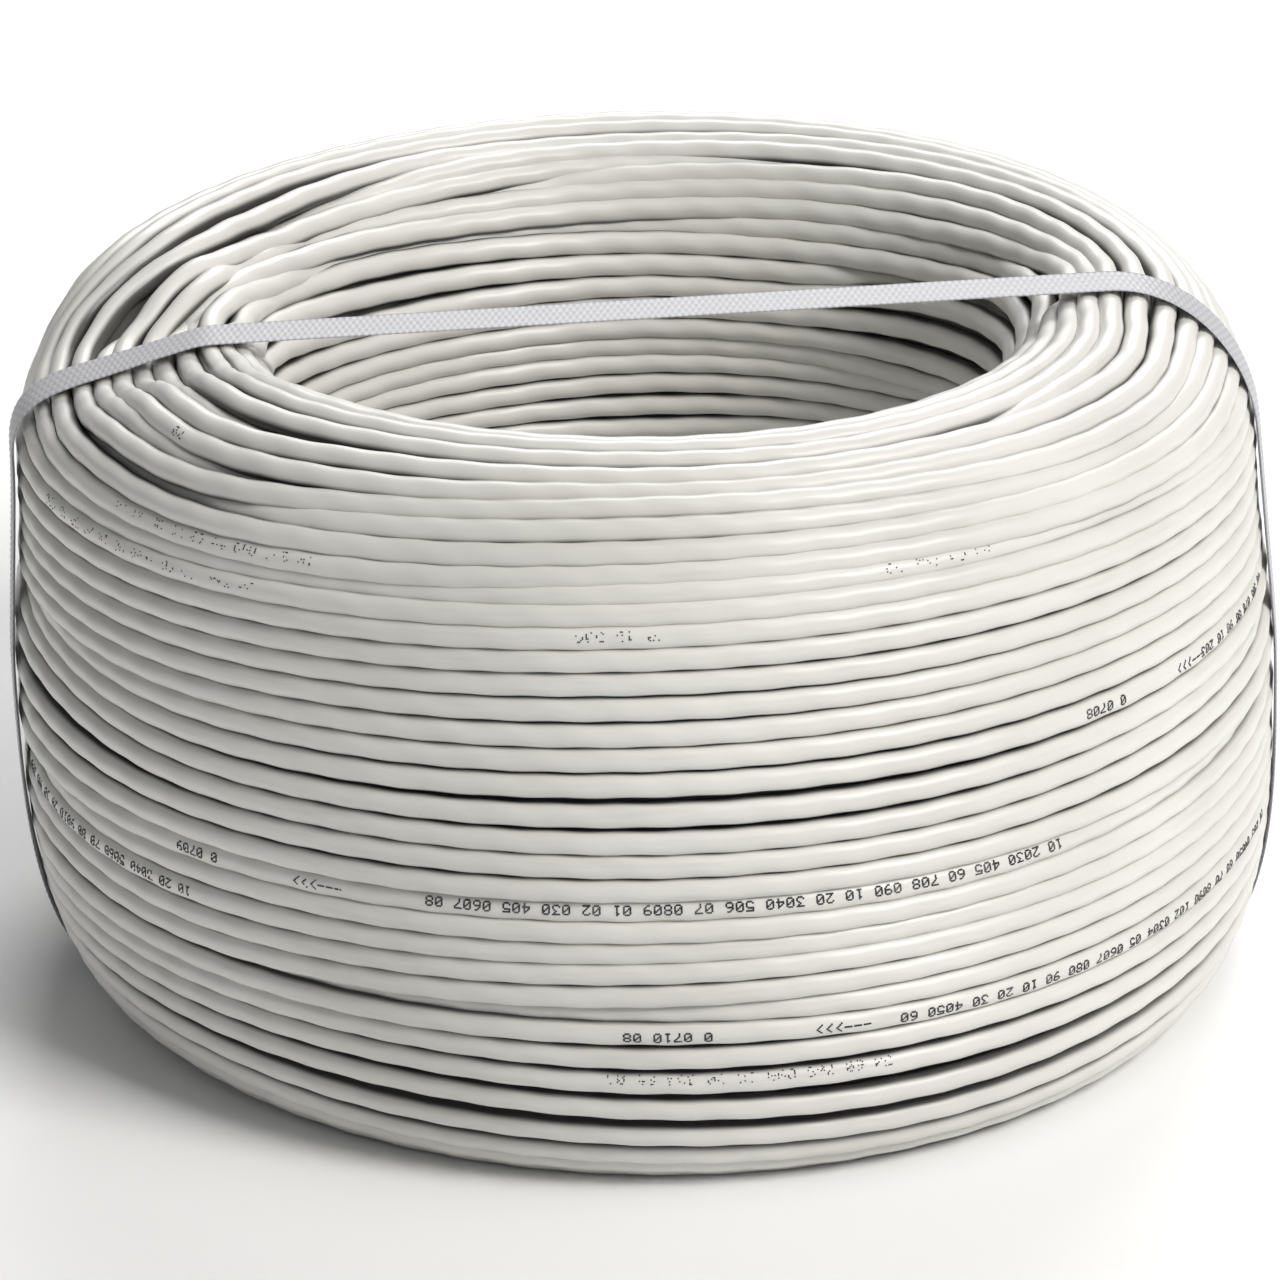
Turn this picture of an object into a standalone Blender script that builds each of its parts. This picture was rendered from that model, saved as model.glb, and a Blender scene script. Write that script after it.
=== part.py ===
"""Coil of thin two-core sheathed wire, standing on its end and tied across with one woven strap.

Metres, +Z up. The coil's axis is Z and its lowest turns lie on z = 0. The strap goes round the whole
coil in an upright plane along X, a little in front of the axis: over the top, down both sides and back
underneath, across the open bore. Its pull presses the top of the coil down on the -X side.
"""

import math

import bmesh
import bpy
import numpy as np
from mathutils.geometry import convex_hull_2d

# Coil of wire: its section, by the radius and height of the places where it turns
COIL_RADIUS = 0.134
BELLY_LEVEL = 0.066
SHOULDER_RADIUS = 0.1305
SHOULDER_LEVEL = 0.116
CREST_RADIUS = 0.100
COIL_HEIGHT = 0.150
THROAT_RADIUS = 0.0757
THROAT_LEVEL = 0.118
BORE_RADIUS = 0.082
BORE_LEVEL = 0.062
BASE_RADIUS = 0.104
BASE_SQUARENESS = 3.1

# Turns of wire in its surface
WIRE_DIAMETER = 0.0052
TURN_GROOVE = 0.0019

# The lowest turns are pressed flat by the coil's weight
BASE_SETTLE = 0.0016
BASE_LAND = 0.0030

# Strap: the Y of its middle plane, its section and the room left round it
STRAP_OFFSET = -0.0146
STRAP_WIDTH = 0.013
STRAP_THICKNESS = 0.0008
STRAP_CLEARANCE = 0.0003
STRAP_SIDE_CLEARANCE = 0.0005
STRAP_FLOOR_GAP = 0.0002
WELD_LENGTH = 0.030

# How far the strap presses the top of the coil down and in, and how far beside the strap that shows
PRESS_DOWN = 0.014
PRESS_IN = 0.004
PRESS_REACH = 0.028

# Fineness
COLUMNS_PER_QUARTER = 9
COLUMN_CROWDING = 1.4
ARC_SAMPLES = 720

WIRE_COLOUR = (0.72, 0.71, 0.67, 1.0)
STRAP_COLOUR = (0.62, 0.62, 0.66, 1.0)


def clear_scene():
    """Removes whatever the scene already holds."""
    for obj in list(bpy.data.objects):
        bpy.data.objects.remove(obj, do_unlink=True)


def new_collection(name):
    collection = bpy.data.collections.new(name)
    bpy.context.scene.collection.children.link(collection)
    return collection


def new_material(name, colour, roughness):
    """A plain non-metallic surface of the given linear colour."""
    material = bpy.data.materials.new(name)
    material.use_nodes = True
    shader = material.node_tree.nodes["Principled BSDF"]
    shader.inputs["Base Color"].default_value = colour
    shader.inputs["Roughness"].default_value = roughness
    shader.inputs["Metallic"].default_value = 0.0
    material.diffuse_color = colour
    return material


def corner(level_side, flat_side, squareness=2.0):
    """Quarter of a superellipse from an upright side (r, z) to a level end (r, z)."""
    angle = np.linspace(0.0, math.pi / 2, ARC_SAMPLES, endpoint=False)
    power = 2.0 / squareness
    r = flat_side[0] + (level_side[0] - flat_side[0]) * np.cos(angle) ** power
    z = level_side[1] + (flat_side[1] - level_side[1]) * np.sin(angle) ** power
    return np.column_stack((r, z))


def wall(start, end):
    """A soft S between two upright places on a wall, each given by (r, z)."""
    share = np.linspace(0.0, 1.0, ARC_SAMPLES, endpoint=False)
    sweep = (1 - np.cos(math.pi * share)) / 2
    return np.column_stack((start[0] + (end[0] - start[0]) * sweep, start[1] + (end[1] - start[1]) * share))


def section_outline():
    """The wound section as (r, z) points, from its crest down the outer side and up the bore side."""
    crest = (CREST_RADIUS, COIL_HEIGHT)
    shoulder = (SHOULDER_RADIUS, SHOULDER_LEVEL)
    belly = (COIL_RADIUS, BELLY_LEVEL)
    base = (BASE_RADIUS, -BASE_SETTLE)
    bore = (BORE_RADIUS, BORE_LEVEL)
    throat = (THROAT_RADIUS, THROAT_LEVEL)
    parts = [
        corner(shoulder, crest)[::-1],
        wall(shoulder, belly),
        corner(belly, base, BASE_SQUARENESS),
        corner(bore, base, BASE_SQUARENESS)[::-1],
        wall(bore, throat),
        corner(throat, crest),
    ]
    return np.concatenate(parts)


class Section:
    """The section's outline by distance along it, with a whole number of turns round it."""

    def __init__(self):
        outline = section_outline()
        self.points = np.vstack((outline, outline[:1]))
        steps = np.hypot(*np.diff(self.points, axis=0).T)
        self.distance = np.concatenate(([0.0], np.cumsum(steps)))
        self.length = self.distance[-1]
        self.turns = round(self.length / WIRE_DIAMETER)
        self.pitch = self.length / self.turns

    def at(self, distance):
        """The (r, z) point this far round from the crest, raised to the floor where it is pressed flat."""
        along = distance % self.length
        r, z = (np.interp(along, self.distance, self.points[:, i]) for i in (0, 1))
        return np.array([r, max(z, 0.0)])

    def outward(self, distance):
        """The unit normal there, away from the wire."""
        reach = self.pitch / 8
        run, drop = self.at(distance + reach) - self.at(distance - reach)
        return np.array([-drop, run]) / math.hypot(run, drop)

    def ridges(self):
        """Where the outer point of each turn lies, from the crest round."""
        return [turn * self.pitch for turn in range(self.turns)]


def press_weight(x, y):
    """How much of the strap's pull shows at a place: all of it under the strap at -X, less beside it."""
    if x > 0.0:
        return 0.0
    beyond = (abs(y - STRAP_OFFSET) - STRAP_WIDTH / 2) / PRESS_REACH
    return (1 + math.cos(math.pi * min(max(beyond, 0.0), 1.0))) / 2


def pressed(point, weight):
    """A point (r, z) of the section after the strap has pressed the coil there with this weight."""
    r, z = point
    height = min(max((z - SHOULDER_LEVEL) / (COIL_HEIGHT - SHOULDER_LEVEL), 0.0), 1.0)
    outer = min(max((r - THROAT_RADIUS) / (SHOULDER_RADIUS - CREST_RADIUS), 0.0), 1.0)
    return r - weight * PRESS_IN * height, z - weight * PRESS_DOWN * height * outer


def coil_profile(section):
    """Ridges, one for each turn, with a groove between neighbours and flat lands on the floor."""
    profile = []
    for ridge in section.ridges():
        groove = ridge + section.pitch / 2
        if section.at(ridge)[1] <= 0.0:
            profile.append(section.at(ridge - BASE_LAND / 2))
            profile.append(section.at(ridge + BASE_LAND / 2))
        else:
            profile.append(section.at(ridge))
        profile.append(section.at(groove) - TURN_GROOVE * section.outward(groove))
    return profile


def column_angles():
    """Angles of the sections round the axis, crowded towards the strap on both sides."""
    strap_angle = math.asin(STRAP_OFFSET / COIL_RADIUS)
    shares = [(i / COLUMNS_PER_QUARTER) ** COLUMN_CROWDING for i in range(COLUMNS_PER_QUARTER)]
    front = [strap_angle - share * (math.pi / 2 + strap_angle) for share in shares[:0:-1]]
    back = [strap_angle + share * (math.pi / 2 - strap_angle) for share in shares]
    near = front + back
    far = [math.pi - angle for angle in near[::-1]]
    return near + [math.pi / 2] + far + [3 * math.pi / 2]


def wound_coil(section):
    """The section carried round the axis, closed on itself, and pressed by the strap."""
    profile = coil_profile(section)
    shape = bmesh.new()
    columns = []
    for angle in column_angles():
        column = []
        for point in profile:
            weight = press_weight(point[0] * math.cos(angle), point[0] * math.sin(angle))
            r, z = pressed(point, weight)
            column.append(shape.verts.new((r * math.cos(angle), r * math.sin(angle), z)))
        columns.append(column)
    for column, following in zip(columns, columns[1:] + columns[:1]):
        for i in range(len(profile)):
            j = (i + 1) % len(profile)
            shape.faces.new((column[i], column[j], following[j], following[i]))
    bmesh.ops.recalc_face_normals(shape, faces=shape.faces)
    mesh = bpy.data.meshes.new("cable_coil")
    shape.to_mesh(mesh)
    shape.free()
    mesh.shade_smooth()
    mesh.set_sharp_from_angle(angle=math.radians(60))
    return bpy.data.objects.new("cable_coil", mesh)


def box(name, size, centre):
    """A box of the given size about a centre."""
    mesh = bpy.data.meshes.new(name)
    shape = bmesh.new()
    bmesh.ops.create_cube(shape, size=1.0)
    bmesh.ops.scale(shape, vec=size, verts=shape.verts)
    bmesh.ops.translate(shape, vec=centre, verts=shape.verts)
    shape.to_mesh(mesh)
    shape.free()
    return bpy.data.objects.new(name, mesh)


def strap_groove():
    """Cutter for the channel under the coil in which the strap lies, clear of the floor."""
    depth = STRAP_FLOOR_GAP + STRAP_THICKNESS + STRAP_CLEARANCE
    over = WIRE_DIAMETER
    size = (2 * (COIL_RADIUS + over), STRAP_WIDTH + 2 * STRAP_SIDE_CLEARANCE, depth + over)
    cutter = box("strap_groove", size, (0.0, STRAP_OFFSET, (depth - over) / 2))
    cutter.hide_render = True
    cutter.display_type = "WIRE"
    return cutter


def taut_line(section):
    """The (x, z) corners of a line pulled tight round the coil at the strap's edge nearest the axis."""
    near = abs(STRAP_OFFSET) - STRAP_WIDTH / 2
    points = []
    for ridge in section.ridges():
        for side, weight in ((-1, 1.0), (1, 0.0)):
            r, z = pressed(section.at(ridge), weight)
            points.append((side * math.sqrt(r * r - near * near), z))
    return [points[i] for i in convex_hull_2d(points)]


def moved_out(points, distance):
    """A convex loop with every straight run moved outwards by the distance."""
    loop = np.array(points)
    runs = np.roll(loop, -1, axis=0) - loop
    turning = np.sign(np.cross(runs, np.roll(runs, -1, axis=0)).sum())
    normals = turning * np.column_stack((runs[:, 1], -runs[:, 0])) / np.hypot(*runs.T)[:, None]
    before = np.roll(normals, 1, axis=0)
    spread = (1 + (before * normals).sum(axis=1))[:, None]
    return [tuple(point) for point in loop + distance * (before + normals) / spread]


def raised(points, level):
    """The loop with all of it that lies below the level lifted to it."""
    lifted = []
    for start, end in zip(points, points[1:] + points[:1]):
        lifted.append((start[0], max(start[1], level)))
        if (start[1] - level) * (end[1] - level) < 0:
            share = (level - start[1]) / (end[1] - start[1])
            lifted.append((start[0] + share * (end[0] - start[0]), level))
    return lifted


def add_loop(curve, points):
    """One closed loop of straight runs through the (x, z) points."""
    spline = curve.splines.new("POLY")
    spline.points.add(len(points) - 1)
    for corner_point, (x, z) in zip(spline.points, points):
        corner_point.co = (x, z, 0.0, 1.0)
    spline.use_cyclic_u = True


def with_weld(points, level):
    """The strap's inner face with the lapped, welded stretch added under the middle of the bore."""
    half = WELD_LENGTH / 2
    ramp = half + 2 * STRAP_THICKNESS
    lap = level + STRAP_THICKNESS
    weld = [(-ramp, level), (-half, lap), (half, lap), (ramp, level)]
    under = [i for i, (x, z) in enumerate(points) if z <= level and x < 0]
    near = max(under, key=lambda i: points[i][0])
    following = (near + 1) % len(points)
    if points[following][0] < 0:
        following = (near - 1) % len(points)
        weld.reverse()
        near = following
    return points[: near + 1] + weld + points[near + 1 :]


def strap(section):
    """A flat band pulled tight round the coil, its ends lapped and welded underneath."""
    line = taut_line(section)
    inner_level = STRAP_FLOOR_GAP + STRAP_THICKNESS
    inner = raised(moved_out(line, STRAP_CLEARANCE), inner_level)
    outer = raised(moved_out(line, STRAP_CLEARANCE + STRAP_THICKNESS), STRAP_FLOOR_GAP)
    curve = bpy.data.curves.new("strap", "CURVE")
    curve.dimensions = "2D"
    curve.fill_mode = "BOTH"
    curve.extrude = STRAP_WIDTH / 2
    add_loop(curve, outer)
    add_loop(curve, with_weld(inner, inner_level))
    band = bpy.data.objects.new("strap", curve)
    band.location = (0.0, STRAP_OFFSET, 0.0)
    band.rotation_euler = (math.pi / 2, 0.0, 0.0)
    return band


def main():
    clear_scene()
    parts = new_collection("wire_coil")
    cutters = new_collection("cutters")
    section = Section()

    coil = wound_coil(section)
    coil.data.materials.append(new_material("wire_sheath", WIRE_COLOUR, 0.38))
    parts.objects.link(coil)

    groove = strap_groove()
    cutters.objects.link(groove)
    cut = coil.modifiers.new("Strap groove", "BOOLEAN")
    cut.operation = "DIFFERENCE"
    cut.solver = "EXACT"
    cut.object = groove

    band = strap(section)
    band.data.materials.append(new_material("strap_weave", STRAP_COLOUR, 0.6))
    parts.objects.link(band)


main()
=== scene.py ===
import math

import bpy
import numpy as np
from mathutils import Matrix, Vector
from mathutils.geometry import convex_hull_2d


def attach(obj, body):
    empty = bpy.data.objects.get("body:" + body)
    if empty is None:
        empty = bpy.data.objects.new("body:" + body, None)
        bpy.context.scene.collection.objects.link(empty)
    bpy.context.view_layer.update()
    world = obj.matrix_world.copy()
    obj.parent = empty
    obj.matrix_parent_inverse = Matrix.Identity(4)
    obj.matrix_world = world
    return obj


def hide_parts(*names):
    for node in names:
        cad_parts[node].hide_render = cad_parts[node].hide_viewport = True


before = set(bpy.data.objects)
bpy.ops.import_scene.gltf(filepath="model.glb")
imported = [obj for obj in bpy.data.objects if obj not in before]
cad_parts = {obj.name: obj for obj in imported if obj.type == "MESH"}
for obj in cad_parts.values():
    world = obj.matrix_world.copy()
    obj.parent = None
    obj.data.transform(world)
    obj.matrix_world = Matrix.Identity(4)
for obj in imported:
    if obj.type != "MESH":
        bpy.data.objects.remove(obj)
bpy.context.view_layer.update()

# Outer turns of the coil.
# One length of round two-core wire in an off-white PVC sheath, wound turn beside turn and layer on
# layer over a drum that was then drawn out. Only the strap holds the turns where they lie.

WIRE = 0.0052
TWIST_LAY = 0.026
TWIST_SWELL = 0.034
# Places (r, z) on the section's outline, in metres from the coil's axis and from the floor.
CREST = (0.100, 0.150)
SHOULDER = (0.1305, 0.116)
BELLY = (0.134, 0.066)
FOOT = (0.104, -0.0016)
BORE = (0.082, 0.062)
THROAT = (0.0757, 0.118)
FOOT_SQUARENESS = 3.1
OUTLINE_STEPS = 600


def quarter(side, end, squareness=2.0):
    """Superellipse quarter: r and z run from side to end as cos and sin of an angle to 2 / squareness."""
    angle = np.linspace(0.0, math.pi / 2, OUTLINE_STEPS, endpoint=False)
    power = 2.0 / squareness
    r = end[0] + (side[0] - end[0]) * np.cos(angle) ** power
    z = side[1] + (end[1] - side[1]) * np.sin(angle) ** power
    return np.column_stack((r, z))


def flank(start, end):
    """Half a cosine wave between two upright places: r follows 1 - cos, z is even."""
    share = np.linspace(0.0, 1.0, OUTLINE_STEPS, endpoint=False)
    sweep = (1 - np.cos(math.pi * share)) / 2
    return np.column_stack((start[0] + (end[0] - start[0]) * sweep, start[1] + (end[1] - start[1]) * share))


outline = np.concatenate([
    quarter(SHOULDER, CREST)[::-1],
    flank(SHOULDER, BELLY),
    quarter(BELLY, FOOT, FOOT_SQUARENESS),
    quarter(BORE, FOOT, FOOT_SQUARENESS)[::-1],
    flank(BORE, THROAT),
    quarter(THROAT, CREST),
])
outline = np.vstack((outline, outline[:1]))
outline_run = np.concatenate(([0.0], np.cumsum(np.hypot(*np.diff(outline, axis=0).T))))
ROUND = outline_run[-1]

NORMAL_STEP = 0.0004
STRAP_Y = -0.0146
STRAP_WIDTH = 0.013
PRESS_DOWN = 0.0133
PRESS_IN = 0.004
PRESS_REACH = 0.046
PRESS_GROWTH = 1.5
OVAL = (-0.0061, 0.018)
LOBES = (-0.0089, 0.0029)
LEAN = (-0.0262, 0.0027)
LEAN_FROM = 0.07


def outline_at(run):
    """Place (r, z) on the section's outline at a run along it."""
    run = np.mod(run, ROUND)
    return np.interp(run, outline_run, outline[:, 0]), np.interp(run, outline_run, outline[:, 1])


def on_section(run, depth):
    """Place (r, z) and outward direction at a run along the outline, sunk by depth and kept that far over
    the floor. The direction is square to the line between the outline's places just before and after."""
    r, z = outline_at(run)
    ahead, behind = outline_at(run + NORMAL_STEP), outline_at(run - NORMAL_STEP)
    dr, dz = ahead[0] - behind[0], ahead[1] - behind[1]
    size = np.hypot(dr, dz)
    out_r, out_z = -dz / size, dr / size
    return r - depth * out_r, np.maximum(z - depth * out_z, depth), out_r, out_z


def settled(r, z, angle, skin):
    """Turns (r, z, angle) into x, y, z with the strap's press, a lean and a plan that isn't quite round. The
    press follows the r and z of the coil's skin over the place, and grows with height to a power."""
    x, y = r * np.cos(angle), r * np.sin(angle)
    beside = np.clip((np.abs(y - STRAP_Y) - STRAP_WIDTH / 2) / PRESS_REACH, 0.0, 1.0)
    pull = np.where(x > 0.0, 0.0, (1 + np.cos(math.pi * beside)) / 2)
    height = np.clip((skin[1] - SHOULDER[1]) / (CREST[1] - SHOULDER[1]), 0.0, 1.0) ** PRESS_GROWTH
    outer = np.clip((skin[0] - THROAT[0]) / (SHOULDER[0] - CREST[0]), 0.0, 1.0)
    r = r - pull * PRESS_IN * height
    z = z - pull * PRESS_DOWN * height * outer
    oval = OVAL[0] * np.cos(2 * (angle - OVAL[1]))
    r = r * (1 + oval + LOBES[0] * np.cos(3 * angle) + LOBES[1] * np.sin(3 * angle))
    rise = z - LEAN_FROM
    return np.stack((r * np.cos(angle) + LEAN[0] * rise, r * np.sin(angle) + LEAN[1] * rise, z), -1)


# Where the grooves between neighbouring turns lie, in mm along the section from its crest: outwards and
# down as positive numbers, and down into the bore as negative ones. One row for each groove, one column for
# each angle round the coil, in degrees. Where two grooves come together, the turn between them is buried.
FRONT_ANGLES = (-172, -158, -140, -115, -90, -65, -40, -25, -12)
BACK_ANGLES = (4, 15, 40, 65, 90, 115, 140, 153, 165, 174, 181)
FRONT_FIRST = 0
FRONT_GROOVES = np.array([
    (-11.3, -9.5, -3.5, -2.9, -4.2, -3.2, -4.1, -7.1, -11.6),
    (-5.4, -3.2, 2.5, 2.2, 1.0, 2.2, 1.4, -1.5, -7.0),
    (-0.2, 2.8, 9.3, 8.9, 7.7, 7.9, 5.3, 3.3, -1.9),
    (-0.2, 2.8, 9.3, 8.9, 7.7, 7.9, 9.0, 8.4, 3.5),
    (4.9, 6.0, 11.4, 8.9, 7.7, 7.9, 9.0, 8.4, 3.5),
    (9.9, 12.0, 17.2, 14.7, 11.9, 12.5, 14.5, 14.4, 10.0),
    (14.9, 17.2, 21.5, 20.3, 15.7, 16.5, 19.6, 19.7, 16.9),
    (19.1, 21.4, 24.4, 20.3, 15.7, 16.5, 19.6, 19.7, 16.9),
    (24.9, 28.0, 29.9, 24.5, 20.4, 21.1, 24.3, 24.4, 21.8),
    (25.5, 29.1, 31.6, 28.9, 25.5, 25.4, 27.6, 27.9, 26.6),
    (31.3, 34.9, 37.2, 34.1, 30.5, 29.9, 31.9, 32.6, 31.9),
    (38.0, 40.6, 41.1, 38.2, 34.4, 34.1, 36.3, 37.4, 37.2),
    (44.1, 44.8, 44.6, 41.3, 38.3, 37.6, 39.0, 40.7, 41.8),
    (51.4, 50.6, 49.2, 45.7, 42.7, 41.9, 43.2, 44.6, 45.7),
    (57.0, 55.9, 54.1, 50.5, 47.3, 46.7, 48.1, 49.2, 50.1),
    (61.7, 60.6, 58.9, 55.5, 52.4, 52.2, 53.4, 54.5, 55.4),
    (65.8, 64.9, 63.5, 60.0, 57.2, 57.2, 58.4, 59.4, 60.2),
    (70.0, 69.4, 68.4, 65.2, 62.7, 62.2, 62.9, 64.0, 64.8),
    (74.2, 73.6, 72.7, 69.9, 67.7, 66.9, 67.5, 68.5, 69.3),
    (76.4, 76.6, 77.0, 75.0, 72.6, 72.1, 72.7, 73.4, 73.9),
    (79.1, 80.2, 82.0, 80.3, 78.1, 77.7, 77.8, 77.9, 78.0),
    (82.9, 84.5, 87.0, 86.2, 84.8, 83.8, 83.0, 83.3, 83.5),
    (90.4, 91.2, 92.4, 90.8, 89.5, 88.9, 87.4, 87.0, 86.8),
    (100.6, 99.8, 98.6, 96.3, 94.6, 93.9, 93.3, 92.9, 92.7),
    (104.7, 104.2, 103.3, 101.6, 99.7, 99.0, 98.7, 98.9, 99.1),
    (111.5, 110.0, 107.6, 105.4, 103.5, 102.9, 101.9, 101.5, 101.3),
    (113.7, 113.1, 112.1, 110.2, 108.5, 107.8, 106.4, 105.7, 105.2),
    (117.1, 117.3, 117.5, 115.0, 112.6, 111.6, 111.2, 110.8, 110.6),
    (121.0, 121.5, 122.2, 119.7, 117.2, 116.2, 115.5, 115.1, 114.7),
    (127.0, 127.0, 126.9, 124.6, 122.6, 121.2, 120.3, 119.6, 119.2),
    (128.0, 128.0, 128.2, 126.8, 125.6, 126.0, 125.4, 124.6, 124.0),
    (133.5, 133.0, 132.3, 131.4, 131.1, 131.1, 130.6, 129.6, 128.9),
    (137.8, 137.3, 136.6, 136.0, 137.0, 135.8, 135.3, 134.4, 133.7),
    (142.1, 141.9, 141.6, 142.0, 143.1, 143.5, 141.9, 140.5, 139.3),
    (147.5, 147.6, 147.7, 148.5, 150.3, 151.2, 148.4, 147.0, 145.8),
    (155.0, 155.0, 154.9, 157.3, 158.2, 159.1, 157.3, 155.9, 154.8),
])
BACK_FIRST = -9
BACK_GROOVES = np.array([
    (-67.5, -69.0, -73.3, -74.8, -76.9, -75.6, -74.5, -73.5, -72.0, -69.8, -67.8),
    (-62.0, -63.5, -68.3, -70.3, -70.8, -71.0, -69.0, -67.9, -66.5, -64.3, -62.3),
    (-55.7, -57.2, -62.5, -64.6, -65.3, -65.6, -63.6, -62.5, -61.1, -58.9, -56.9),
    (-53.0, -54.5, -59.5, -60.3, -60.6, -60.4, -59.5, -58.5, -56.9, -54.7, -52.7),
    (-50.7, -51.9, -55.2, -56.4, -56.6, -56.5, -55.0, -54.0, -52.6, -50.4, -48.4),
    (-43.2, -44.6, -48.5, -51.3, -51.6, -51.5, -49.9, -48.3, -46.3, -44.1, -42.1),
    (-35.8, -37.3, -41.7, -46.3, -46.5, -46.4, -44.8, -42.7, -40.0, -37.8, -35.8),
    (-28.3, -30.0, -34.9, -41.2, -41.5, -41.3, -39.7, -37.0, -33.7, -31.5, -29.5),
    (-28.1, -29.7, -34.4, -36.2, -36.2, -34.8, -31.7, -29.7, -27.4, -24.9, -24.4),
    (-22.3, -22.3, -27.5, -30.9, -31.3, -30.0, -27.5, -26.8, -23.8, -19.1, -15.0),
    (-13.5, -18.0, -24.1, -26.8, -28.7, -28.2, -25.7, -23.5, -19.1, -12.0, -5.8),
    (-13.0, -16.4, -24.1, -26.8, -28.7, -28.2, -25.7, -23.4, -19.0, -11.7, -4.2),
    (-8.0, -12.6, -18.7, -21.8, -23.4, -23.5, -20.9, -19.5, -15.4, -10.0, -3.0),
    (-4.1, -7.8, -13.3, -17.4, -19.6, -20.0, -18.7, -18.9, -15.3, -9.5, -0.3),
    (0.6, -2.8, -8.1, -13.0, -15.6, -18.2, -17.8, -16.2, -12.1, -1.4, 8.1),
    (0.6, -2.5, -8.1, -11.0, -12.4, -13.9, -14.2, -13.0, -7.2, 6.8, 13.6),
    (9.2, 5.6, -3.0, -6.7, -8.5, -9.4, -12.4, -12.7, -7.0, 7.7, 17.1),
    (15.2, 11.0, 1.8, -2.8, -5.0, -5.2, -4.1, -3.2, 2.4, 20.3, 25.2),
    (15.5, 11.3, 2.1, -2.5, -4.7, -4.9, -3.8, -2.9, 2.7, 20.6, 25.5),
])
GROOVES_ROUND = 74
GROOVES_SHIFT = -2
RISE_FADE = 12.0
MM_IN_METRE = 1000.0


def outside_behind():
    """Grooves on the coil's far side: a straight line between their two ends in front, less the rise that the
    last known one has there. That rise turns from groove to groove into a plain half sine."""
    share = (np.array(BACK_ANGLES) - FRONT_ANGLES[-1]) / (360.0 + FRONT_ANGLES[0] - FRONT_ANGLES[-1])
    last = BACK_FIRST + len(BACK_GROOVES) - 1
    numbers = np.arange(last, FRONT_FIRST + len(FRONT_GROOVES))
    right = FRONT_GROOVES[numbers + GROOVES_SHIFT - FRONT_FIRST, -1][:, None]
    left = FRONT_GROOVES[numbers - FRONT_FIRST, 0][:, None]
    straight = right * (1 - share) + left * share
    known = straight[0] - BACK_GROOVES[-1]
    plain = known.max() * np.sin(math.pi * share)
    keep = np.exp(-(numbers - last) / RISE_FADE)[:, None]
    return (straight - plain - (known - plain) * keep)[1:]


def all_round(known, first):
    """Adds the unseen grooves of a table, evenly spaced, so that they close round the section, and repeats
    the whole round often enough for every turn of the wire."""
    missing = GROOVES_ROUND - len(known)
    share = np.arange(1, missing + 1)[:, None] / (missing + 1)
    fill = known[-1] + share * (known[0] + ROUND * MM_IN_METRE - known[-1])
    whole = np.vstack((known, fill)) / MM_IN_METRE
    numbers = np.arange(first - 2 * GROOVES_ROUND, first + 4 * GROOVES_ROUND)
    rounds = np.floor_divide(numbers - first, GROOVES_ROUND)[:, None]
    return {"first": numbers[0], "rows": whole[np.mod(numbers - first, GROOVES_ROUND)] + rounds * ROUND}


front = all_round(FRONT_GROOVES, FRONT_FIRST)
back = all_round(np.vstack((BACK_GROOVES, outside_behind())), BACK_FIRST)


def groove_knots(groove):
    """Runs of one groove at the known angles of one whole turn from the coil's left side."""
    ahead = front["rows"][groove - front["first"]]
    behind = back["rows"][groove - GROOVES_SHIFT - back["first"]]
    return np.concatenate((ahead, behind))


def smooth_through(knots, values, at):
    """Cubic Hermite curve through uneven knots, its slopes the mean of the slopes on either side."""
    gaps = np.diff(knots)
    rise = np.diff(values) / gaps
    inner = (rise[1:] * gaps[:-1] + rise[:-1] * gaps[1:]) / (gaps[1:] + gaps[:-1])
    slope = np.concatenate((rise[:1], inner, rise[-1:]))
    i = np.clip(np.searchsorted(knots, at, side="right") - 1, 0, len(gaps) - 1)
    t = (at - knots[i]) / gaps[i]
    return ((1 + 2 * t) * (1 - t) ** 2 * values[i] + t * (1 - t) ** 2 * gaps[i] * slope[i]
            + t * t * (3 - 2 * t) * values[i + 1] + t * t * (t - 1) * gaps[i] * slope[i + 1])


STEPS = 320
FULL_WIDTH = 0.95
DEEPEST = 0.9
TURN_KNOTS = np.radians(np.array(FRONT_ANGLES + BACK_ANGLES))
SEAM = math.radians(-173.7)


def groove_line(groove, turns, at):
    """Runs of a groove at angles within a range of turns. Its number moves on by a shift with each turn."""
    knots = np.concatenate([TURN_KNOTS + 2 * math.pi * turn for turn in turns])
    values = np.concatenate([groove_knots(groove - GROOVES_SHIFT * turn) for turn in turns])
    return smooth_through(knots, values, at)


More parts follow.
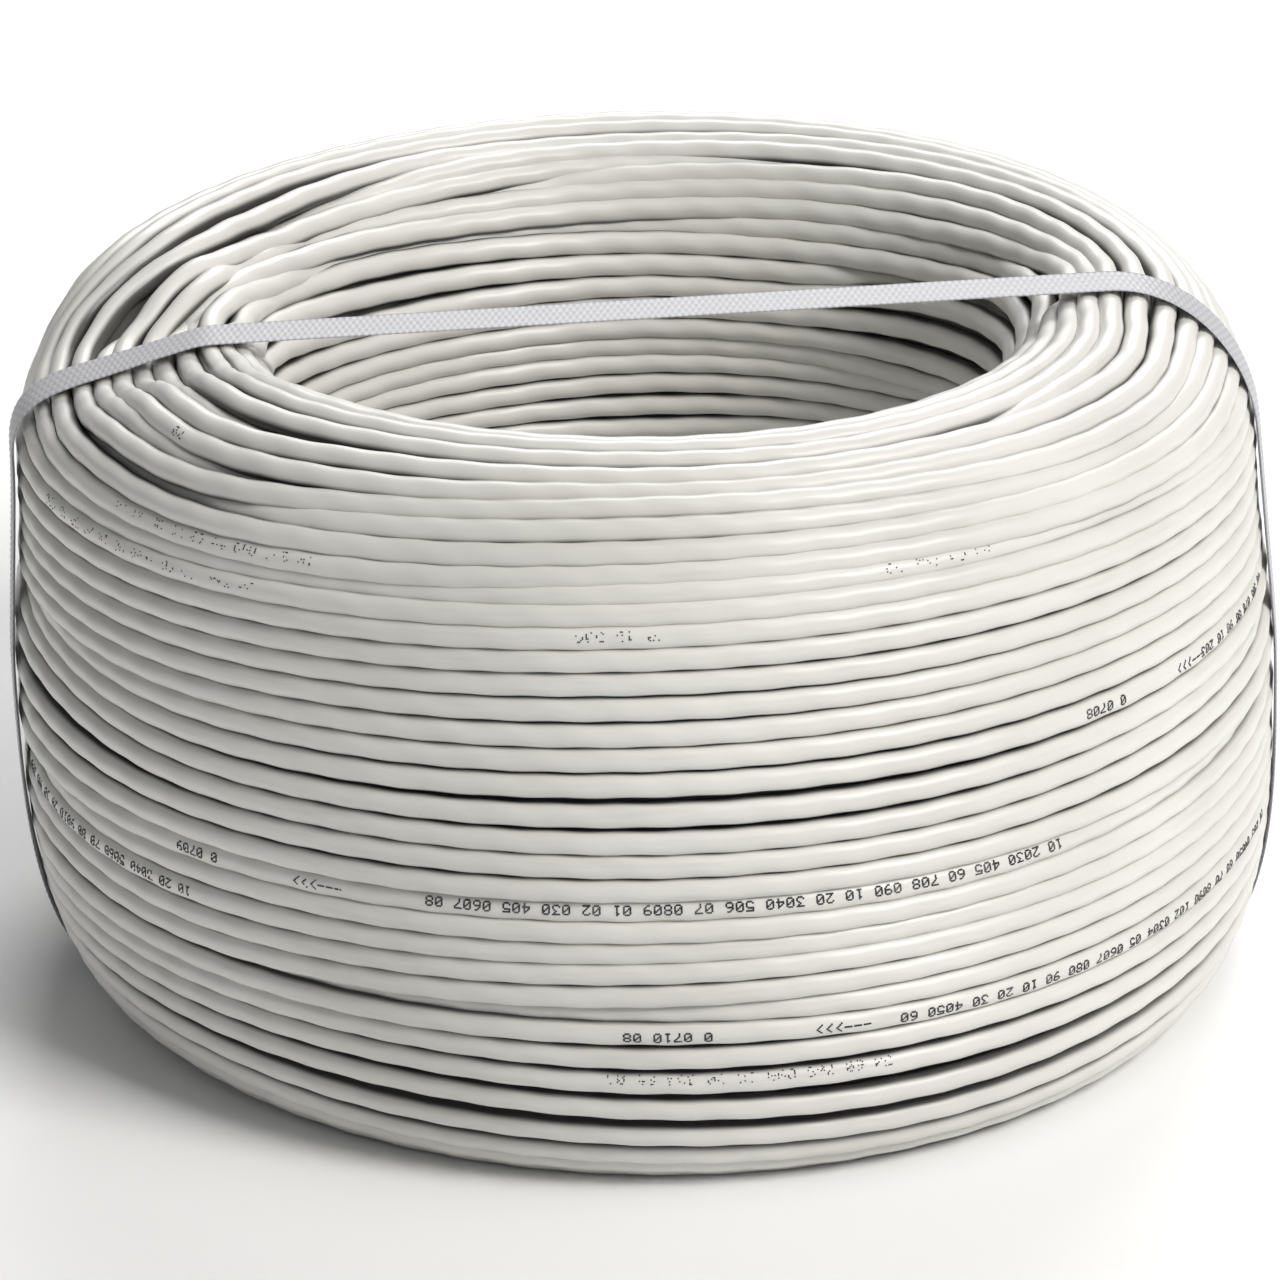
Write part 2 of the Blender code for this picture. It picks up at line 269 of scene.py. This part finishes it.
def wire_path(first_groove, turns):
    """Centre line of a run of whole turns. Each lies between its two grooves, and sinks as they close in."""
    around = range(-1, turns + 1)
    angle = SEAM + np.arange(turns * STEPS + 1) * 2 * math.pi / STEPS
    top, bottom = (groove_line(groove, around, angle) for groove in (first_groove, first_groove + 1))
    middle = (top + bottom) / 2
    skin = on_section(middle, 0.0)[:2]
    slope = np.gradient(middle, angle) / skin[0]
    width = (bottom - top) / np.sqrt(1 + slope ** 2)
    squeeze = np.clip((FULL_WIDTH * WIRE - width) / (FULL_WIDTH * WIRE), 0.0, 1.0)
    sink = DEEPEST * WIRE * squeeze ** 2 * (3 - 2 * squeeze)
    r, z, out_r, out_z = on_section(middle, WIRE / 2 + sink)
    centre = settled(r, z, angle, skin)
    ahead = np.gradient(centre, axis=0)
    ahead /= np.linalg.norm(ahead, axis=1)[:, None]
    out = np.stack((out_r * np.cos(angle), out_r * np.sin(angle), out_z), -1)
    out -= (out * ahead).sum(1)[:, None] * ahead
    out /= np.linalg.norm(out, axis=1)[:, None]
    length = np.concatenate(([0.0], np.cumsum(np.linalg.norm(np.diff(centre, axis=0), axis=1))))
    return {"centre": centre, "out": out, "side": np.cross(ahead, out), "length": length}


def grid_faces(rows, columns, closed_rows=False):
    """Corner numbers of the four-sided faces of a grid of points that closes across, and along if asked."""
    i, j = np.meshgrid(np.arange(rows if closed_rows else rows - 1), np.arange(columns), indexing="ij")
    next_i, next_j = (i + 1) % rows, (j + 1) % columns
    corners = (i * columns + j, i * columns + next_j, next_i * columns + next_j, next_i * columns + j)
    return np.stack(corners, -1).reshape(-1, 4)


def grid_uv(u, v):
    """UV pairs of the corners of those faces, from the values on the lines of the grid in each direction."""
    i, j = np.meshgrid(np.arange(len(u) - 1), np.arange(len(v) - 1), indexing="ij")
    corners_u = np.stack((u[i], u[i], u[i + 1], u[i + 1]), -1)
    corners_v = np.stack((v[j], v[j + 1], v[j + 1], v[j]), -1)
    return np.stack((corners_u, corners_v), -1).reshape(-1, 2)


def mesh_piece(name, points, faces, uv=None):
    """Object from points, four-sided faces and, where given, a UV pair for each face corner."""
    mesh = bpy.data.meshes.new(name)
    mesh.vertices.add(len(points))
    mesh.vertices.foreach_set("co", points.astype(np.float32).ravel())
    mesh.loops.add(faces.size)
    mesh.loops.foreach_set("vertex_index", faces.astype(np.int32).ravel())
    mesh.polygons.add(len(faces))
    mesh.polygons.foreach_set("loop_start", np.arange(0, faces.size, 4, dtype=np.int32))
    if uv is not None:
        mesh.uv_layers.new(name="UVMap").data.foreach_set("uv", uv.astype(np.float32).ravel())
    mesh.update(calc_edges=True)
    mesh.shade_smooth()
    piece = bpy.data.objects.new(name, mesh)
    bpy.context.scene.collection.objects.link(piece)
    return piece


# Angles round the wire of its lines of points, closer together on the side that shows.
ARC = np.radians(np.array((-180, -140, -112, -88, -66, -44, -22, 0, 22, 44, 66, 88, 112, 140)))
# The cut ends take the tone of this place round the wire.
END_V = 0.2


def tube(name, path):
    """Round wire carried along a path: an oval section that turns once in each lay of the two cores. Its UV
    is the run along the wire in metres, and the share of a turn round it from the line that faces out."""
    rows, sides, length = len(path["length"]), len(ARC), path["length"]
    turning = 2 * math.pi * length[:, None] / TWIST_LAY
    radius = WIRE / 2 * (1 + TWIST_SWELL * np.cos(2 * (ARC - turning)))
    points = (path["centre"][:, None, :]
              + (radius * np.cos(ARC))[..., None] * path["out"][:, None, :]
              + (radius * np.sin(ARC))[..., None] * path["side"][:, None, :])
    points[..., 2] = np.maximum(points[..., 2], 0.0)
    k = np.arange(sides // 2 - 1)
    first_end = np.stack((k, sides - 1 - k, sides - 2 - k, k + 1), -1)
    last_end = (rows - 1) * sides + first_end[:, ::-1]
    faces = np.vstack((grid_faces(rows, sides), first_end, last_end))
    end_u = np.repeat(length[[0, -1]], first_end.size)
    end_uv = np.column_stack((end_u, np.full_like(end_u, END_V)))
    uv = np.vstack((grid_uv(length, np.append(ARC, math.pi) / (2 * math.pi)), end_uv))
    return mesh_piece(name, points.reshape(-1, 3), faces, uv)


class Value:
    """A shader socket that takes part in arithmetic: every operator adds the Math node it names."""

    def __init__(self, finish, socket):
        self.finish = finish
        self.socket = socket

    def _math(self, operation, *values):
        return self.finish.add("ShaderNodeMath", {"operation": operation}, dict(enumerate(values)))

    def __add__(self, other):
        return self._math("ADD", self, other)

    def __radd__(self, other):
        return self._math("ADD", other, self)

    def __sub__(self, other):
        return self._math("SUBTRACT", self, other)

    def __rsub__(self, other):
        return self._math("SUBTRACT", other, self)

    def __mul__(self, other):
        return self._math("MULTIPLY", self, other)

    def __rmul__(self, other):
        return self._math("MULTIPLY", other, self)

    def __abs__(self):
        return self._math("ABSOLUTE", self)


class Finish:
    """A material's node tree: add() makes any node from its type, its settings and its sockets' values."""

    def __init__(self, name):
        self.material = bpy.data.materials.new(name)
        self.material.use_nodes = True
        self.tree = self.material.node_tree

    def connect(self, node, inputs):
        """Gives each named socket of a node its number, its colour or its link."""
        for key, value in inputs.items():
            if isinstance(value, Value):
                self.tree.links.new(value.socket, node.inputs[key])
            else:
                node.inputs[key].default_value = value

    def add(self, kind, settings=None, inputs=None, output=0):
        """New node, and the output of it that is asked for."""
        node = self.tree.nodes.new(kind)
        for key, value in (settings or {}).items():
            setattr(node, key, value)
        self.connect(node, inputs or {})
        return Value(self, node.outputs[output])

    def mix(self, share, first, second):
        """Colour between two colours. The node's colour sockets are numbers 6, 7 and, going out, 2."""
        return self.add("ShaderNodeMix", {"data_type": "RGBA"}, {0: share, 6: first, 7: second}, 2)

    def between(self, value, low, high, start, end, way="LINEAR"):
        """Goes from start to end while a value goes from low to high, and stays there outside them."""
        inputs = {"Value": value, "From Min": low, "From Max": high, "To Min": start, "To Max": end}
        return self.add("ShaderNodeMapRange", {"interpolation_type": way}, inputs)

    def surface(self, **sockets):
        """Sets the surface's sockets, named with an underscore for each space, and gives the material."""
        inputs = {key.replace("_", " "): value for key, value in sockets.items()}
        self.connect(self.tree.nodes["Principled BSDF"], inputs)
        return self.material


def opaque(colour, painted_shade=1.0):
    """Red, green and blue times a painted shade, with full alpha."""
    return tuple(painted_shade * part for part in colour) + (1.0,)


SHEATH_DULL = (0.66, 0.65, 0.615)
SHEATH_BRIGHT = (0.74, 0.73, 0.695)
SHEATH_RUBBED = (0.50, 0.49, 0.465)
# Dark colour of the painted shade in the grooves between turns.
SHEATH_GROOVE_SHADE = (0.030, 0.028, 0.024)
SHEATH_GRAIN = 0.0002


def pvc_sheath(name, painted_shade=1.0):
    """Off-white PVC: slow tone changes from turn to turn, handling marks, and painted shade where turns
    touch.
    """
    finish = Finish(name)
    place = finish.add("ShaderNodeTexCoord", output="Object")
    run = finish.add("ShaderNodeTexCoord", output="UV")
    drawn = finish.add("ShaderNodeMapping", inputs={"Vector": run, "Scale": (38.0, 7.0, 1.0)})
    cloud = finish.add("ShaderNodeTexNoise", inputs={"Vector": place, "Scale": 16.0, "Detail": 3.0})
    streak = finish.add("ShaderNodeTexNoise", inputs={"Vector": drawn, "Scale": 1.0, "Detail": 4.0})
    fine = finish.add("ShaderNodeTexNoise", inputs={"Vector": place, "Scale": 700.0, "Detail": 2.0})
    round_wire = finish.add("ShaderNodeSeparateXYZ", inputs={"Vector": run}, output="Y")
    to_the_right = finish.add("ShaderNodeSeparateXYZ", inputs={"Vector": place}, output="X")
    tone = finish.between(cloud, 0.35, 0.65, 0.0, 1.0)
    rubbed = finish.between(streak, 0.56, 0.76, 0.0, 0.30)
    # Painted shade: each turn's sides darken towards where it touches its neighbours, in place of the shade
    # in the grooves.
    groove_shade = finish.between(abs(round_wire), 0.140, 0.228, 0.0, 0.92, "SMOOTHSTEP")
    # Painted light: the groove shade fades by up to 0.28 towards the coil's right side, which the key lamp
    # lights.
    lit_side_less_shade = finish.between(to_the_right, 0.03, 0.12, 0.0, 0.28)
    colour = finish.mix(tone, opaque(SHEATH_DULL, painted_shade), opaque(SHEATH_BRIGHT, painted_shade))
    colour = finish.mix(rubbed, colour, opaque(SHEATH_RUBBED, painted_shade))
    # The groove shade is painted into the colour, weaker on the coil's lit right side.
    colour = finish.mix(groove_shade * (1 - lit_side_less_shade), colour, opaque(SHEATH_GROOVE_SHADE))
    grain = {"Strength": 0.22, "Distance": SHEATH_GRAIN, "Height": fine * 0.3 + streak * 0.7}
    normal = finish.add("ShaderNodeBump", inputs=grain)
    return finish.surface(Base_Color=colour, Roughness=0.34 + streak * 0.14, Normal=normal,
                          Specular_IOR_Level=0.5, Coat_Weight=0.10, Coat_Roughness=0.20)


sheath = pvc_sheath("pvc_sheath")
# Two interleaved runs are enough to lay every groove, each cut in two under the strap.
STRANDS = 2
FIRST_GROOVE = 40
STRAND_TURNS = GROOVES_ROUND // STRANDS
HALF_TURNS = 19
strands = [wire_path(FIRST_GROOVE + strand, STRAND_TURNS) for strand in range(STRANDS)]
cut = HALF_TURNS * STEPS
for strand, path in enumerate(strands):
    for part, span in enumerate((slice(0, cut + 1), slice(cut, None))):
        half = {key: row[span] for key, row in path.items()}
        piece = tube(f"outer_turns_{2 * strand + part + 1}", half)
        piece.data.materials.append(sheath)
        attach(piece, "root")
        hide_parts("cable_coil")

# Metre marks.
# Running figures, dashes and arrows that an ink jet put on the sheath before it was wound, as dots
# five across and seven high. Here they are thin plates on the turns, and half of the lines are rubbed.

DOT_STEP = 0.00031
DOT_HIGH = 0.00030
DOT_ROWS = 7
DOT_SIZE = 0.00021
DOT_SIZE_RUBBED = 0.68
DOT_RISE = 0.00005
DOT_ROOT = 0.00010
PLATE_SIDES = 6
FIGURE_STEP = 0.00195
FIGURES = {
    "0": (62, 81, 73, 69, 62), "1": (0, 66, 127, 64, 0), "2": (66, 97, 81, 73, 70), "3": (33, 65, 69, 75, 49),
    "4": (24, 20, 18, 127, 16), "5": (39, 69, 69, 69, 57), "6": (60, 74, 73, 73, 48), "7": (1, 113, 9, 5, 3),
    "8": (54, 73, 73, 73, 54), "9": (6, 73, 73, 41, 30), "-": (8, 8, 8, 8, 8), ">": (65, 34, 20, 8, 0),
}


def figure_dots(text):
    """Along and across places of the dots of a line of figures, from the bits of each figure's columns."""
    along, over = [], []
    for place, figure in enumerate(text):
        for column, bits in enumerate(FIGURES.get(figure, ())):
            for row in range(DOT_ROWS):
                if bits >> row & 1:
                    along.append(place * FIGURE_STEP + column * DOT_STEP)
                    over.append((DOT_ROWS // 2 - row) * DOT_HIGH)
    return np.array(along), np.array(over)


def dots_on_turn(groove, start_angle, text, up, kept, seed):
    """Six-sided plates on the turn below a groove, read from right to left and upside down, from an angle
    on. The run along the wire and the angle round it give each corner's place on the twisted sheath."""
    strand = (groove - FIRST_GROOVE) % STRANDS
    turn = (groove - FIRST_GROOVE) % GROOVES_ROUND // STRANDS
    path = strands[strand]
    step = turn * STEPS + (math.radians(start_angle) - SEAM) % (2 * math.pi) / (2 * math.pi) * STEPS
    along, over = figure_dots(text)
    chosen = np.random.default_rng(seed).random(len(along)) < kept
    start = np.interp(step, np.arange(len(path["length"])), path["length"])
    radius = DOT_SIZE * (DOT_SIZE_RUBBED + (1 - DOT_SIZE_RUBBED) * kept)
    corner = np.radians(np.arange(PLATE_SIDES) * 360.0 / PLATE_SIDES)
    place = (start - along[chosen])[:, None] + radius * np.cos(corner)
    turned = (over[chosen] / (WIRE / 2) - up)[:, None] + radius * np.sin(corner) / (WIRE / 2)
    centre, out, side = (
        np.stack([np.interp(place, path["length"], path[key][:, i]) for i in range(3)], -1)
        for key in ("centre", "out", "side"))
    skin = WIRE / 2 * (1 + TWIST_SWELL * np.cos(2 * (turned - 2 * math.pi * place / TWIST_LAY)))
    facing = np.cos(turned)[..., None] * out + np.sin(turned)[..., None] * side
    heights = (skin + DOT_RISE, skin - DOT_ROOT)
    return np.concatenate([centre + height[..., None] * facing for height in heights], axis=1)


# Groove above the turn, angle where the line starts, text, how far up the turn, share of dots left.
LINES = (
    (24, -53.0, "10 2030 405 60 708 090 10 20 3040 506 07 0809 01 02 030 405 0607 08", 0.30, 1.0),
    (24, -117.5, "--->>>", 0.1, 0.95),
    (24, -131.0, "0 0709", 0.1, 0.95),
    (26, -134.5, "10 20 3040 5060 70 80 9010 20 30 405 060 7080", 0.1, 0.9),
    (30, -15.0, "10 203 04050 60 70 8090 102 0304 05 0607 080 90 10 20 30 4050 60", 0.0, 1.0),
    (30, -72.0, "--->>>", 0.0, 1.0),
    (30, -85.5, "0 0710 08", 0.0, 1.0),
    (19, -12.0, "40 506 070 80 90 10 203", 0.0, 1.0),
    (19, -31.5, "--->>>", 0.0, 1.0),
    (19, -44.5, "0 0708", 0.0, 1.0),
    (-6, 106.0, "102 0304 050", 0.2, 1.0),
    (32, -70.0, "50 60 708 090 10 20 304 05 06", 0.7, 0.35),
    (10, -120.0, "10 203 040 50 60 70 80 90 10", 0.2, 0.22),
    (12, -126.0, "20 304 050 60 7080 90 10 20 30 40 506", 0.2, 0.22),
    (13, -88.0, "30 40 506", 0.2, 0.3),
    (11, -58.0, "50 60 708 09", 0.2, 0.22),
    (5, -140.0, "70", -0.2, 0.5),
)
plates = np.concatenate([dots_on_turn(*line, seed) for seed, line in enumerate(LINES)])
# Corners 0 to 5 of a plate are on its outer face, and 6 to 11 on its root.
ring = np.arange(PLATE_SIDES)
beside = (ring + 1) % PLATE_SIDES
walls = np.stack((beside, beside + PLATE_SIDES, ring + PLATE_SIDES, ring), -1)
plate_faces = np.vstack((((3, 2, 1, 0), (5, 4, 3, 0)), ((6, 7, 8, 9), (6, 9, 10, 11)), walls))
mark_faces = (np.arange(len(plates))[:, None, None] * 2 * PLATE_SIDES + plate_faces).reshape(-1, 4)
marks = mesh_piece("metre_marks", plates.reshape(-1, 3), mark_faces)
INK_BLACK = (0.018, 0.016, 0.020)
INK_WORN = (0.16, 0.155, 0.16)
ink = Finish("rubbed_black_ink")
ink_place = ink.add("ShaderNodeTexCoord", output="Object")
ink_cloud = ink.add("ShaderNodeTexNoise", inputs={"Vector": ink_place, "Scale": 260.0, "Detail": 2.0})
ink_colour = ink.mix(ink.between(ink_cloud, 0.45, 0.75, 0.0, 1.0), opaque(INK_BLACK), opaque(INK_WORN))
marks.data.materials.append(ink.surface(Base_Color=ink_colour, Roughness=0.45 + ink_cloud * 0.2))
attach(marks, "root")

# Inner layers of the coil.
# The turns under the outer ones show only as rounded ridges in the gaps. They are the same wire,
# half a turn further in, and lie in the grooves of the layer above them.

CORE_COLUMNS = 180
RIDGE_ROWS = 4
CORE_TOP = 0.0043
CORE_VALLEY = 0.0016
CORE_FLOOR = 0.004
# The inner turns keep this share of the sheath's colour: painted shade for the shade deep between the outer
# turns.
CORE_PAINTED_SHADE = 0.40
core_angle = np.radians(np.arange(CORE_COLUMNS) * 360.0 / CORE_COLUMNS - 180.0)
grooves = np.array([groove_line(groove, range(-1, 2), core_angle) for groove in range(GROOVES_ROUND + 1)])
ridge_share = np.arange(GROOVES_ROUND * RIDGE_ROWS) / RIDGE_ROWS
low = np.floor(ridge_share).astype(int)
part = (ridge_share - low)[:, None]
core_run = grooves[low] * (1 - part) + grooves[low + 1] * part
r, z, _, _ = on_section(core_run, CORE_TOP + CORE_VALLEY * np.abs(np.sin(math.pi * part)))
core_points = settled(r, np.maximum(z, CORE_FLOOR), core_angle, on_section(core_run, 0.0)[:2])
# The groove numbers drop by two across the coil's left side, so the faces there join rows that far apart.
i, j = np.meshgrid(np.arange(len(ridge_share)), np.arange(CORE_COLUMNS), indexing="ij")
next_i, next_j = (i + 1) % len(ridge_share), (j + 1) % CORE_COLUMNS
over = -((j + 1) // CORE_COLUMNS) * RIDGE_ROWS * GROOVES_SHIFT
far, near = (next_i + over) % len(ridge_share), (i + over) % len(ridge_share)
core_faces = np.stack((i * CORE_COLUMNS + j, next_i * CORE_COLUMNS + j, far * CORE_COLUMNS + next_j,
                       near * CORE_COLUMNS + next_j), -1).reshape(-1, 4)
core = mesh_piece("inner_turns", core_points.reshape(-1, 3), core_faces)
# A shaded copy of the sheath: the same wire with its colour painted darker.
core.data.materials.append(pvc_sheath("pvc_sheath_inside_painted_shade", CORE_PAINTED_SHADE))
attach(core, "root")
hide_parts("cable_coil")

# Strap.
# Woven polyester band, pulled tight once round the coil and across its open bore. Its ends are lapped
# and welded underneath.

STRAP_THICKNESS = 0.0008
STRAP_GAP = 0.0002
STRAP_FLOOR = 0.0002
BAND_WIDTH = 0.0122
STRAP_TURN = 0.019
CORDS = 5
CORD_COLUMNS = 3
UNDER_COLUMNS = 4
RIB = 0.0014
RIB_ROWS = 4
WEAVE_RISE = 0.00024
WEAVE_LEAST = 0.2
SIDE_FROM = 0.100
SIDE_BLEND = 0.020
HULL_STEPS = 1400
SOFT_STEPS = 9
STAND_OFF = 0.0014
STAND_AT = (-0.1285, 0.1265)
STAND_REACH = 0.010
NEAR_Y = abs(STRAP_Y) - STRAP_WIDTH / 2


def strap_line():
    """Closed (x, z) line outside the turns in the strap's plane, and the run along it: their hull, evenly
    stepped and smoothed, with a small bell-shaped rise where the stiff band bridges the left shoulder."""
    r, z, _, _ = on_section(np.linspace(0.0, ROUND, HULL_STEPS, endpoint=False), 0.0)
    lean_to = np.arcsin(np.clip(STRAP_Y / r, -1.0, 1.0))
    hull = []
    for angle in (lean_to, math.pi - lean_to):
        x, y, high = settled(r, z, angle, (r, z)).T
        reach = np.sqrt(np.maximum(x ** 2 + y ** 2 - NEAR_Y ** 2, 0.0))
        hull.append(np.column_stack((reach * np.sign(x), high)))
    hull = np.concatenate(hull)
    line = hull[convex_hull_2d(hull.tolist())]
    line = np.vstack((line, line[:1]))
    steps = np.concatenate(([0.0], np.cumsum(np.hypot(*np.diff(line, axis=0).T))))
    even = np.linspace(0.0, steps[-1], int(round(steps[-1] / RIB)) * RIB_ROWS, endpoint=False)
    window = np.hanning(2 * SOFT_STEPS + 1)
    window /= window.sum()
    x, z = (np.interp(even, steps, line[:, i]) for i in (0, 1))
    x, z = (np.convolve(np.pad(c, SOFT_STEPS, mode="wrap"), window, "valid") for c in (x, z))
    apart = np.hypot(x - STAND_AT[0], z - STAND_AT[1])
    stand = STAND_OFF * np.exp(-(apart / STAND_REACH) ** 2) * math.sqrt(0.5)
    return np.column_stack((x - stand, z + stand)), even


line, strap_run = strap_line()
along = np.roll(line, -1, axis=0) - np.roll(line, 1, axis=0)
along /= np.hypot(*along.T)[:, None]
outwards = np.column_stack((along[:, 1], -along[:, 0]))
if (outwards * (line - line.mean(axis=0))).sum() < 0:
    outwards = -outwards
top = np.linspace(-0.5, 0.5, CORD_COLUMNS * CORDS + 1)
under = np.linspace(0.5, -0.5, UNDER_COLUMNS + 2)[1:-1]
across = np.concatenate((top, under))
is_top = np.concatenate((np.ones_like(top), np.zeros_like(under)))
cord = np.minimum(np.floor((across + 0.5) * CORDS), CORDS - 1)
in_cord = np.abs(np.sin(math.pi * CORDS * (across + 0.5)))
wave = 0.5 + 0.5 * np.cos(2 * math.pi * strap_run[:, None] / RIB + math.pi * cord)
weave = WEAVE_RISE * in_cord * (WEAVE_LEAST + (1 - WEAVE_LEAST) * wave) * is_top
lift = STRAP_GAP + (STRAP_THICKNESS - WEAVE_RISE) * is_top + weave
flat = line[:, None, :] + outwards[:, None, :] * lift[..., None]
x, z = flat[..., 0], flat[..., 1]
y = STRAP_Y + STRAP_TURN * x + BAND_WIDTH * across
# On the sides the band lies round the coil instead of standing off at its edges.
on_side = np.clip((np.abs(x) - SIDE_FROM) / SIDE_BLEND, 0.0, 1.0)
close = (y ** 2 - NEAR_Y ** 2) / (2 * np.maximum(np.abs(x), SIDE_FROM))
# Under the coil both faces are held over the floor, the inner one by the band's thickness more.
z = np.maximum(z, STRAP_FLOOR + STRAP_THICKNESS * (1 - is_top))
strap_points = np.stack((x - np.sign(x) * close * on_side, y, z), -1)
strap_uv = grid_uv(np.append(strap_run, strap_run[-1] + strap_run[1]), np.append(across, across[0]))
strap_faces = grid_faces(*lift.shape, closed_rows=True)
band = mesh_piece("woven_strap", strap_points.reshape(-1, 3), strap_faces, strap_uv)
# One thread colour with painted shade where it dips under and a painted highlight where it rises over a cord.
THREAD_SHADED = (0.39, 0.39, 0.415)
THREAD_GLINT = (0.53, 0.53, 0.56)
THREAD_WORN = (0.46, 0.46, 0.485)
THREAD_GRAIN = 0.00012
polyester = Finish("woven_polyester")
band_place = polyester.add("ShaderNodeTexCoord", output="UV")
band_run = polyester.add("ShaderNodeSeparateXYZ", inputs={"Vector": band_place}, output="X")
band_side = polyester.add("ShaderNodeSeparateXYZ", inputs={"Vector": band_place}, output="Y")
thread = polyester.add("ShaderNodeMapping", inputs={"Vector": band_place, "Scale": (260.0, 60.0, 1.0)})
fibre = polyester.add("ShaderNodeTexNoise", inputs={"Vector": thread, "Scale": 1.0, "Detail": 3.0})
cord_number = polyester.add("ShaderNodeMath", {"operation": "FLOOR"}, {0: (band_side + 0.5) * CORDS})
weave_turn = band_run * (2 * math.pi / RIB) + cord_number * math.pi
over_under = polyester.add("ShaderNodeMath", {"operation": "COSINE"}, {0: weave_turn})
raised_glint = polyester.between(over_under, -0.7, 0.7, 0.0, 1.0, "SMOOTHSTEP")
worn = polyester.between(fibre, 0.35, 0.70, 0.0, 0.5)
# Painted light: threads are lighter where they rise and darker where they dip, in place of the weave's glints
# and shade.
band_colour = polyester.mix(raised_glint, opaque(THREAD_SHADED), opaque(THREAD_GLINT))
band_colour = polyester.mix(worn, band_colour, opaque(THREAD_WORN))
band_grain = {"Strength": 0.5, "Distance": THREAD_GRAIN, "Height": fibre}
band_normal = polyester.add("ShaderNodeBump", inputs=band_grain)
band.data.materials.append(polyester.surface(
    Base_Color=band_colour, Roughness=0.30 + fibre * 0.25, Normal=band_normal, Sheen_Weight=0.2))
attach(band, "root")
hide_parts("strap")

# Floor, light and camera.
# A plain pale floor under soft studio light from the right, seen from a little above the coil.

FLOOR = 4.0
FLOOR_WHITE = (0.95, 0.95, 0.95)
floor_mesh = bpy.data.meshes.new("floor")
floor_corners = [(-FLOOR, -FLOOR, 0), (FLOOR, -FLOOR, 0), (FLOOR, FLOOR, 0), (-FLOOR, FLOOR, 0)]
floor_mesh.from_pydata(floor_corners, [], [(0, 1, 2, 3)])
floor = bpy.data.objects.new("floor", floor_mesh)
bpy.context.scene.collection.objects.link(floor)
pale_floor = Finish("pale_floor")
floor.data.materials.append(pale_floor.surface(
    Base_Color=opaque(FLOOR_WHITE), Roughness=0.9, Specular_IOR_Level=0.1))

STUDIO_TINT = (0.97, 0.985, 1.0)
STUDIO_STRENGTH = 0.17
world = bpy.data.worlds.new("studio")
bpy.context.scene.world = world
world.use_nodes = True
background = world.node_tree.nodes["Background"]
background.inputs["Color"].default_value = opaque(STUDIO_TINT)
background.inputs["Strength"].default_value = STUDIO_STRENGTH
bpy.context.scene.view_settings.view_transform = "Standard"

# Name, place, side in metres, watts and colour of each square lamp.
LAMPS = (
    ("key", (1.25, -1.10, 1.60), 0.8, 37.0, (1.0, 0.985, 0.955)),
    ("overhead", (0.5, -0.4, 2.3), 1.0, 10.0, (1.0, 0.995, 0.98)),
    ("fill", (-1.5, -1.1, 1.2), 1.4, 0.3, (0.95, 0.975, 1.0)),
    ("backdrop", (0.3, 2.1, 1.9), 1.6, 49.0, (1.0, 1.0, 1.0)),
)
LAMP_AIM = Vector((0.0, 0.0, 0.08))
for name, place, size, power, colour in LAMPS:
    lamp = bpy.data.lights.new(name, "AREA")
    lamp.shape = "SQUARE"
    lamp.size = size
    lamp.energy = power
    lamp.color = colour
    holder = bpy.data.objects.new(name, lamp)
    holder.location = place
    holder.rotation_euler = (LAMP_AIM - Vector(place)).to_track_quat("-Z", "Y").to_euler()
    bpy.context.scene.collection.objects.link(holder)

# The camera stands off from a place on the coil's axis. Its angles are in radians, its lens in mm.
CAMERA_CENTRE = 0.075
CAMERA_DISTANCE = 1.4
CAMERA_RISE = 0.391
CAMERA_AIM = 0.0056
CAMERA_YAW = 0.0015
CAMERA_ROLL = -0.012
CAMERA_LENS = 185.7
CAMERA_NEAR = 0.05
SENSOR_WIDTH = 36.0
pitch = CAMERA_RISE + CAMERA_AIM
ahead = Matrix.Rotation(CAMERA_YAW, 3, "Z") @ Vector((0.0, math.cos(pitch), -math.sin(pitch)))
right = ahead.cross(Vector((0.0, 0.0, 1.0))).normalized()
above = right.cross(ahead)
rolled_right = right * math.cos(CAMERA_ROLL) + above * math.sin(CAMERA_ROLL)
rolled_above = -right * math.sin(CAMERA_ROLL) + above * math.cos(CAMERA_ROLL)
view = bpy.data.cameras.new("view")
view.lens = CAMERA_LENS
view.sensor_width = SENSOR_WIDTH
view.sensor_fit = "HORIZONTAL"
view.clip_start = CAMERA_NEAR
camera = bpy.data.objects.new("view", view)
turn = Matrix((rolled_right, rolled_above, -ahead)).transposed().to_4x4()
stand_off = Vector((0.0, -math.cos(CAMERA_RISE), math.sin(CAMERA_RISE))) * CAMERA_DISTANCE
camera.matrix_world = Matrix.Translation(Vector((0.0, 0.0, CAMERA_CENTRE)) + stand_off) @ turn
bpy.context.scene.collection.objects.link(camera)
bpy.context.scene.camera = camera
